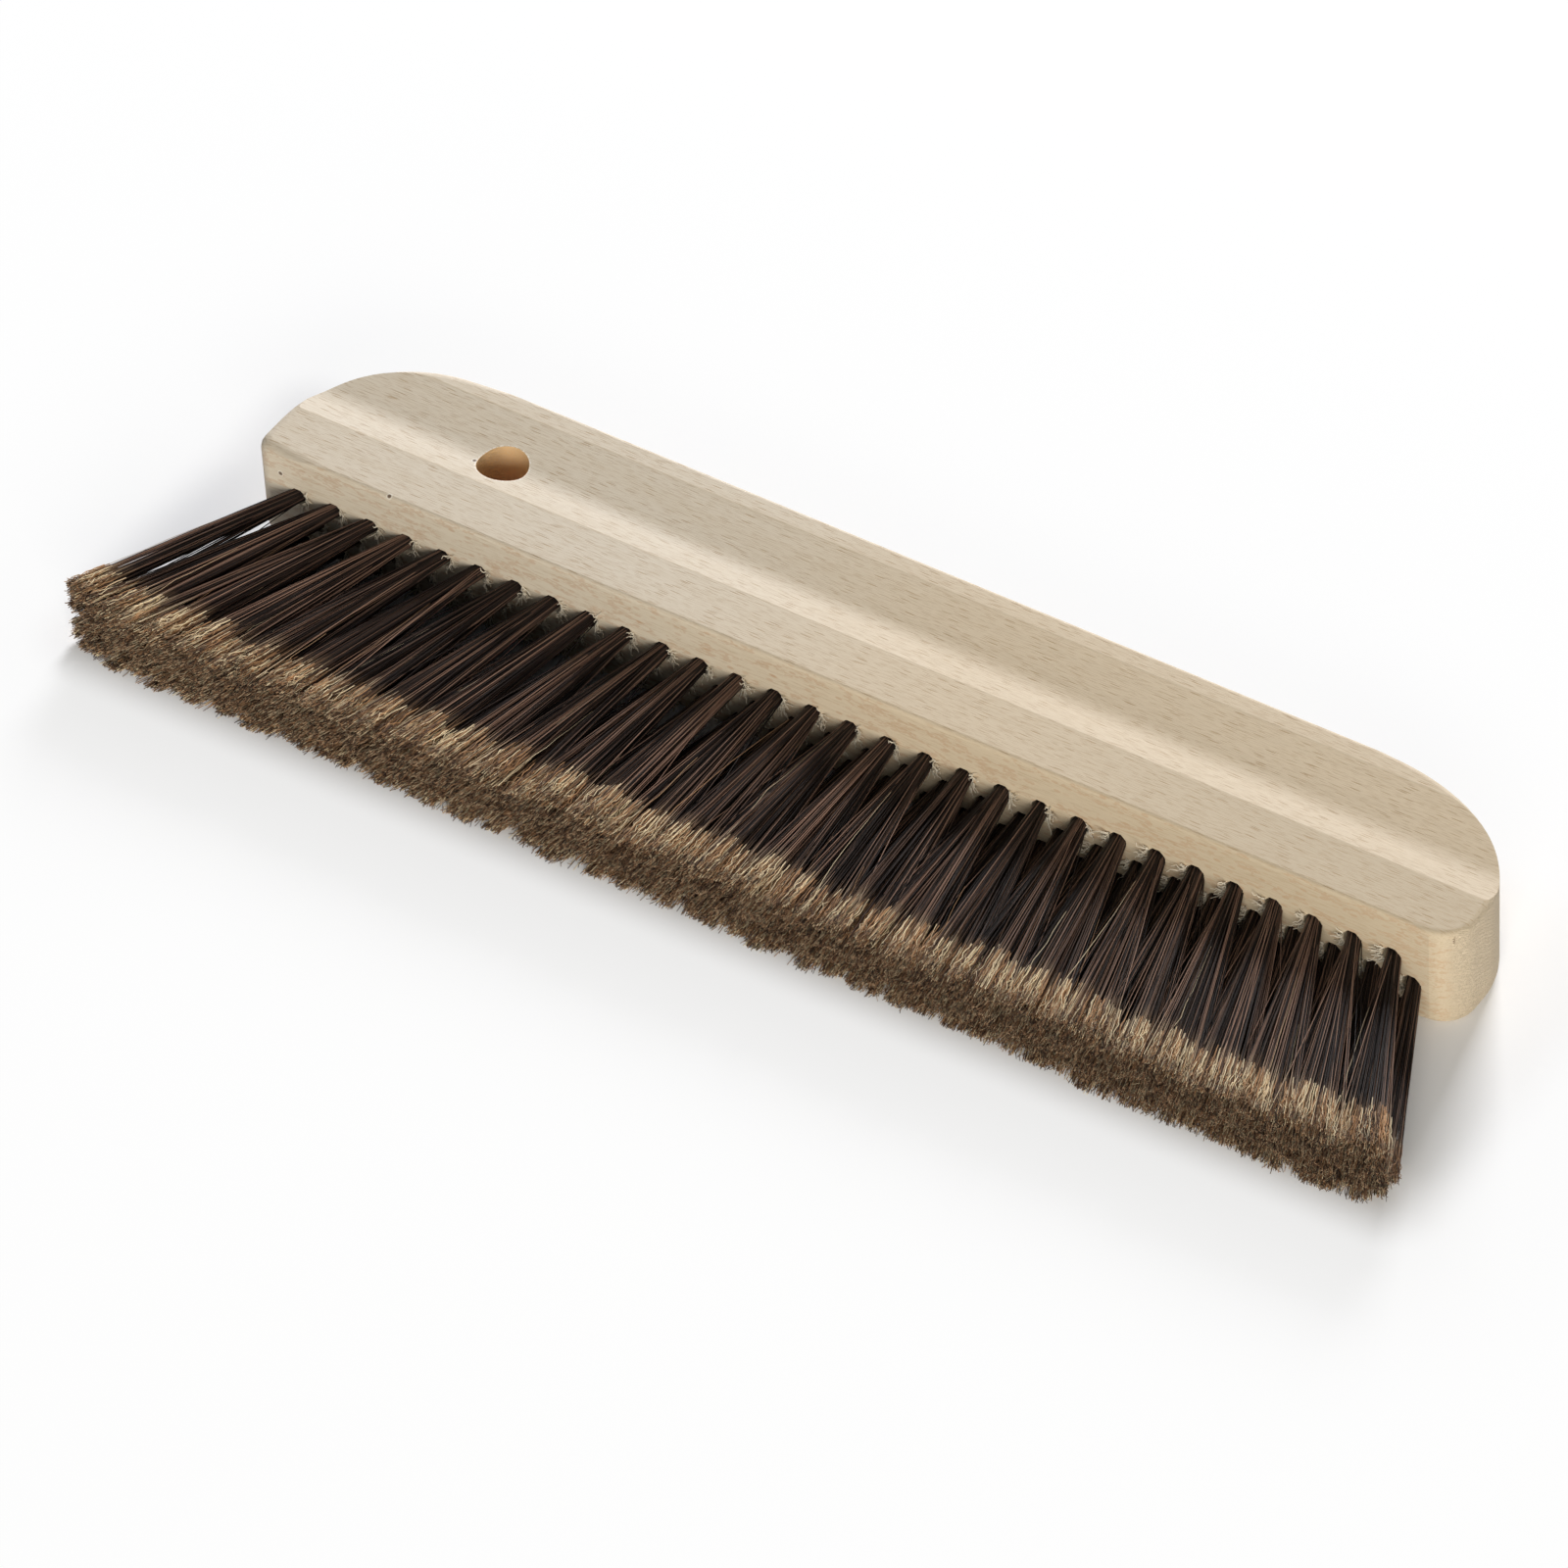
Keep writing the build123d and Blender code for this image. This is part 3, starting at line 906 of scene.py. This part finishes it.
def hair_tip(g, hairs, own, lock, lock_middle):
    """Where a hair ends: at its own place in the opened tuft, drawn to its lock and scattered."""
    lock_shift = g.random_shift(LOCK_SHIFT, LOCK_SHIFT_SEED, lock)
    at_tip = g.vector("ADD", g.blend(LOCK_PULL, own, lock_middle), lock_shift)
    odd = g.math("POWER", g.random(0.0, 1.0, g.seed(hairs.seed + DRAWS["odd"])), ODDNESS)
    stray = g.random_shift(STRAY_REACH, g.seed(hairs.seed + DRAWS["stray"]))
    at_tip = g.moved(at_tip, stray, g.times(odd, hairs.wild))
    spread = g.combine(g.given["Tip reach"], g.given["Tip reach"], g.given["Tip rise"])
    tip = g.vector("ADD", g.kept("tip"), g.vector("MULTIPLY", at_tip, spread))
    end = g.random_shift((1.0, 1.0, 1.0), g.seed(hairs.seed + DRAWS["end"]))
    return within_fan(g, g.vector("ADD", tip, g.vector("MULTIPLY", end, hairs.scatter)))


def hair_points(g, hairs):
    """Points for the hairs of one kind in every tuft, each with its root, its tip and where it begins.

    Neighbours form locks that shift together, so a tuft opens in a few clumps.
    """
    points = g.store(g.rooted(), "tuft", g.add("GeometryNodeInputIndex").outputs[0], "INT")
    points = g.copies(points, g.given[hairs.count])
    turn, reach = spiral_place(g, hairs)
    own = g.sideways(turn, reach)
    lock, lock_middle = lock_place(g, turn, reach)
    points = g.store(points, "root_shift", g.vector("SCALE", own, scale=g.given["Root radius"]))
    points = g.store(points, "hair_tip", hair_tip(g, hairs, own, lock, lock_middle))
    points = g.store(points, "bow", g.random_shift(BOW_REACH, g.seed(hairs.seed + DRAWS["bow"])))
    lock_edge = g.random(-LOCK_EDGE, LOCK_EDGE, LOCK_EDGE_SEED, lock)
    points = g.store(points, "lock_edge", lock_edge, "FLOAT")
    points = g.store(points, "shade", g.random(0.0, 1.0, g.seed(hairs.seed + DRAWS["shade"])), "FLOAT")
    begin = g.random(*hairs.start, g.seed(hairs.seed + DRAWS["begin"]))
    if hairs.start[0] > 0:
        begin = g.math("ADD", begin, lock_edge)
    return g.store(points, "begin", begin, "FLOAT")


def hair_path(g, hairs):
    """Hairs of one kind: bowed curves towards the tips, with frizz that grows along them if they have any."""
    curves, along = g.lines(hair_points(g, hairs), hairs.steps)
    begin = g.kept("begin", "FLOAT")
    share = g.math("MULTIPLY_ADD", along, g.math("SUBTRACT", 1.0, begin), begin)
    root = g.vector("ADD", g.kept("root"), g.kept("root_shift"))
    deep_root = g.vector("ADD", root, (0.0, ROOT_DEPTH, 0.0))
    place = g.blend(share, deep_root, g.kept("hair_tip"))
    swell = g.math("SINE", g.times(share, FULL_TURN / 2))
    place = g.moved(place, g.kept("bow"), g.times(swell, hairs.bow))
    if hairs.frizz:
        own_place = g.moved(place, g.kept("bow"), FRIZZ_STEP)
        wave = g.wave(own_place, *FRIZZ)
        place = g.moved(place, wave, g.times(g.ramp(along, *FRIZZ_GROWTH), hairs.frizz))
    return Path(g.laid(curves, place), along, share)


def stem_tubes(g):
    """Tapered bristles, which turn pale near their tips."""
    path = hair_path(g, STEMS)
    pale_from = g.math("ADD", g.random(*PALE_FROM, PALE_FROM_SEED), g.kept("lock_edge", "FLOAT"))
    flagged = g.ramp(g.math("SUBTRACT", path.share, pale_from), 0.0, PALE_OVER)
    stems = g.store(path.curves, "flagged", flagged, "FLOAT")
    return g.tubes(stems, g.times(g.given["Thickness"], g.ramp(path.along, *STEM_TAPER)))


def flag_tubes(g):
    """Fine split ends, with their trimmed tips marked for the trimmed colour, which is in part painted shade.
    """
    path = hair_path(g, FLAGS)
    flags = g.store(path.curves, "flagged", g.ramp(path.along, *FLAG_PALING), "FLOAT")
    flags = g.store(flags, "cut", g.ramp(path.along, *CUT_ENDS), "FLOAT")
    width = g.times(g.random(*FLAG_WIDTHS, FLAG_WIDTH_SEED), g.ramp(path.along, *FLAG_TAPER))
    return g.tubes(flags, g.times(g.given["Thickness"], width))


def stray_tubes(g):
    """Loose curled hairs, thinner than the bristles."""
    path = hair_path(g, STRAYS)
    strays = g.store(path.curves, "flagged", g.ramp(path.share, *STRAY_PALING), "FLOAT")
    return g.tubes(strays, g.times(g.given["Thickness"], STRAY_WIDTH))


def bristle_tree(values):
    """Geometry Nodes tree that turns each vertex into one tuft of bristles with split ends and strays."""
    g = GeometryGraph("Bristle tufts", values)
    return g.finish([stem_tubes(g), flag_tubes(g), stray_tubes(g)])


# Splinters

SPLINTERS_PER_HOLE = 20
SPLINTER_SEED = 5
MOUTH_RADIUS = 2.35 * MM
SPLINTER_LENGTH = 2.8 * MM
SPLINTER_TURNS = (-1.1, 0.7)
SPLINTER_REACH = (0.3, 1.0)
FLING_RANGE = ((-0.5, -1.0, -0.6), (0.9, -0.3, 0.8))
SPLINTER_STEPS = 7
SPLINTER_CURL = 0.8 * MM
SPLINTER_SWAY = 2.5 * MM
SPLINTER_WAVE = (1100.0, 1.0)
SPLINTER_RADII = (0.22 * MM, 0.1 * MM)

# Seeds of the random draws, which are added to the tree's own seed
SPLINTER_DRAWS = {"turn": 0, "reach": 1, "fling": 2, "shade": 3}

# Holes before this place along the block are torn on their +X side, and the others on their -X side
TORN_SIDE_CHANGES = 60 * MM


def splinter_tree(values):
    """Geometry Nodes tree that tears a few curled fibres out of one side of each hole's mouth."""
    g = GeometryGraph("Hole splinters", values)
    seeds = {name: g.seed(number) for name, number in SPLINTER_DRAWS.items()}
    points = g.copies(g.rooted(), g.given["Splinters"])
    side = g.separate(g.kept("tip"))[0]
    turn = g.random(*SPLINTER_TURNS, seeds["turn"])
    edge = g.combine(g.times(g.math("COSINE", turn), side), 0.0, g.math("SINE", turn))
    fling = g.random_vector(*FLING_RANGE, seeds["fling"])
    fling = g.vector("MULTIPLY", fling, g.combine(side, 1.0, 1.0))
    reach = g.times(g.random(*SPLINTER_REACH, seeds["reach"]), g.given["Length"])
    points = g.store(points, "edge", edge)
    points = g.store(points, "fling", g.vector("SCALE", fling, scale=reach))
    points = g.store(points, "shade", g.random(0.0, 1.0, seeds["shade"]), "FLOAT")
    curves, along = g.lines(points, SPLINTER_STEPS)
    mouth = g.moved(g.kept("root"), g.kept("edge"), g.given["Hole radius"])
    curl = g.times(g.math("POWER", along, 2.0), SPLINTER_CURL)
    place = g.moved(g.moved(mouth, g.kept("fling"), along), g.kept("edge"), curl)
    place = g.moved(place, g.wave(place, *SPLINTER_WAVE), g.times(along, SPLINTER_SWAY))
    fibres = g.tubes(g.laid(curves, place), g.ramp(along, 0.0, 1.0, *SPLINTER_RADII))
    return g.finish([fibres])


# Studio


class Lamp(NamedTuple):
    """A square lamp that is turned towards the origin."""

    name: str
    place: tuple
    size: float
    colour: tuple


KEY_LAMP = Lamp("key", (-0.56, 1.77, 0.75), 0.7, (0.99, 1.0, 1.04))
FILL_LAMP = Lamp("fill", (1.05, -1.5, 0.55), 1.0, (1.0, 0.965, 0.89))
FLOOR_CORNERS = ((-4.0, -4.0), (4.0, -4.0), (4.0, 4.0), (-4.0, 4.0))
CAMERA_PLACE = (0.98944, -1.39763, 1.64122)
CAMERA_TURN = (46.2149, 2.4504, 33.2622)
CLIP_DISTANCES = (0.05, 50.0)
FILM_WIDTH_MM = 36.0


def lay_floor(look):
    """A square floor under the brush."""
    mesh = bpy.data.meshes.new("floor")
    mesh.from_pydata([(x, y, 0) for x, y in FLOOR_CORNERS], [], [(0, 1, 2, 3)])
    mesh.materials.append(floor_material(look))
    floor = bpy.data.objects.new("floor", mesh)
    bpy.context.collection.objects.link(floor)


def hang_lamp(lamp, power):
    """Puts a lamp in its place, at this power in watts."""
    data = bpy.data.lights.new(lamp.name, "AREA")
    data.size = lamp.size
    data.energy = power
    data.color = lamp.colour
    light = bpy.data.objects.new(lamp.name, data)
    light.location = lamp.place
    light.rotation_euler = (-Vector(lamp.place)).to_track_quat("-Z", "Y").to_euler()
    bpy.context.collection.objects.link(light)


def set_sky(scene, strength):
    """Even white light from all round."""
    world = bpy.data.worlds.new("Studio")
    world.use_nodes = True
    sky = world.node_tree.nodes["Background"]
    sky.inputs["Color"].default_value = WHITE
    sky.inputs["Strength"].default_value = strength
    scene.world = world


def set_camera(scene, focal_length):
    """The camera, at the photograph's viewing angle."""
    lens = bpy.data.cameras.new("camera")
    lens.sensor_width = FILM_WIDTH_MM
    lens.lens = focal_length
    lens.clip_start, lens.clip_end = CLIP_DISTANCES
    camera = bpy.data.objects.new("camera", lens)
    camera.location = CAMERA_PLACE
    camera.rotation_euler = [radians(degrees) for degrees in CAMERA_TURN]
    bpy.context.collection.objects.link(camera)
    scene.camera = camera


# Operators


def dress(node, material):
    """Gives a CAD node its material."""
    slots = frame["nodes"][node].data.materials
    slots.clear()
    slots.append(material)


class BRUSH_OT_beech_block(bpy.types.Operator):
    """Finish the beech block"""

    bl_idname = "brush.beech_block"
    bl_label = "Beech Block"

    def execute(self, context):
        dress("beech_block", beech_material(context.scene.brush_beech))
        return {"FINISHED"}


class BRUSH_OT_wire_anchors(bpy.types.Operator):
    """Finish the flat wires that hold the tufts"""

    bl_idname = "brush.wire_anchors"
    bl_label = "Wire Anchors"

    def execute(self, context):
        wire = wire_material()
        for row in ROWS:
            dress(f"{row}_row_anchors", wire)
        return {"FINISHED"}


class BRUSH_OT_bristle_tufts(bpy.types.Operator):
    """Grow the bristles of every group of tufts in place of its solid"""

    bl_idname = "brush.bristle_tufts"
    bl_label = "Bristle Tufts"

    def execute(self, context):
        look = context.scene.brush_bristle
        values = {
            "Bristles": look.bristles,
            "Split ends": look.flags,
            "Strays": look.strays,
            "Root radius": look.root_radius,
            "Tip reach": look.tip_reach,
            "Tip rise": look.tip_rise,
            "Thickness": look.thickness,
            "Fan end": look.fan_end,
            "Material": bristle_material(look),
        }
        tree = bristle_tree(values)
        for row_number, row in enumerate(ROWS):
            places = list(zip(tuft_roots(row), tuft_tips(row)))
            for group in range(GROUPS_PER_ROW):
                own_places = places[group * TUFTS_PER_GROUP : (group + 1) * TUFTS_PER_GROUP]
                values["Seed"] = SEED_STEP * (row_number * GROUPS_PER_ROW + group)
                piece = grow(f"{row}_row_bristles_{group + 1:02d}", own_places, tree, values)
                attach(piece, "root")
                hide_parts(f"{row}_row_tufts_{group + 1:02d}")
        return {"FINISHED"}


class BRUSH_OT_hole_splinters(bpy.types.Operator):
    """Tear fine fibres out of the mouths of the drilled holes"""

    bl_idname = "brush.hole_splinters"
    bl_label = "Hole Splinters"

    def execute(self, context):
        values = {
            "Splinters": SPLINTERS_PER_HOLE,
            "Hole radius": MOUTH_RADIUS,
            "Length": SPLINTER_LENGTH,
            "Material": splinter_material(context.scene.brush_beech),
        }
        tree = splinter_tree(values)
        for number, row in enumerate(ROWS):
            places = []
            for root in tuft_roots(row):
                side = 1.0 if root.x < TORN_SIDE_CHANGES else -1.0
                places.append((root, Vector((side, 0, 0))))
            values["Seed"] = SPLINTER_SEED + number
            piece = grow(f"{row}_row_splinters", places, tree, values)
            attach(piece, "root")
        return {"FINISHED"}


class BRUSH_OT_studio(bpy.types.Operator):
    """Set up the floor, the light and the camera"""

    bl_idname = "brush.studio"
    bl_label = "Studio"

    def execute(self, context):
        look = context.scene.brush_stage
        lay_floor(look)
        hang_lamp(KEY_LAMP, look.key_power)
        hang_lamp(FILL_LAMP, look.fill_power)
        set_sky(context.scene, look.sky)
        set_camera(context.scene, look.focal_length)
        context.scene.view_settings.view_transform = "Standard"
        return {"FINISHED"}


# Panel

PANEL_ROWS = {
    BRUSH_OT_beech_block: "brush_beech",
    BRUSH_OT_wire_anchors: None,
    BRUSH_OT_bristle_tufts: "brush_bristle",
    BRUSH_OT_hole_splinters: None,
    BRUSH_OT_studio: "brush_stage",
}
GROUPS = {"brush_beech": BeechLook, "brush_bristle": BristleLook, "brush_stage": StageLook}


class BRUSH_PT_pieces(bpy.types.Panel):
    """The brush's pieces and their settings"""

    bl_idname = "BRUSH_PT_pieces"
    bl_label = "Smoothing Brush"
    bl_space_type = "VIEW_3D"
    bl_region_type = "UI"
    bl_category = "Brush"

    def draw(self, context):
        for operator, settings in PANEL_ROWS.items():
            box = self.layout.box()
            box.operator(operator.bl_idname)
            if settings:
                group = getattr(context.scene, settings)
                for name in group.__annotations__:
                    box.prop(group, name)


def register():
    """Adds the settings, the operators and the panel."""
    for name, group in GROUPS.items():
        bpy.utils.register_class(group)
        setattr(bpy.types.Scene, name, PointerProperty(type=group))
    for operator in PANEL_ROWS:
        bpy.utils.register_class(operator)
    bpy.utils.register_class(BRUSH_PT_pieces)


def unregister():
    """Takes them away again."""
    bpy.utils.unregister_class(BRUSH_PT_pieces)
    for operator in reversed(PANEL_ROWS):
        bpy.utils.unregister_class(operator)
    for name, group in GROUPS.items():
        delattr(bpy.types.Scene, name)
        bpy.utils.unregister_class(group)


def main():
    """Makes the whole brush and its studio."""
    register()
    bpy.ops.brush.studio()
    bpy.ops.brush.beech_block()
    bpy.ops.brush.wire_anchors()
    bpy.ops.brush.bristle_tufts()
    bpy.ops.brush.hole_splinters()


if __name__ == "__main__":
    main()
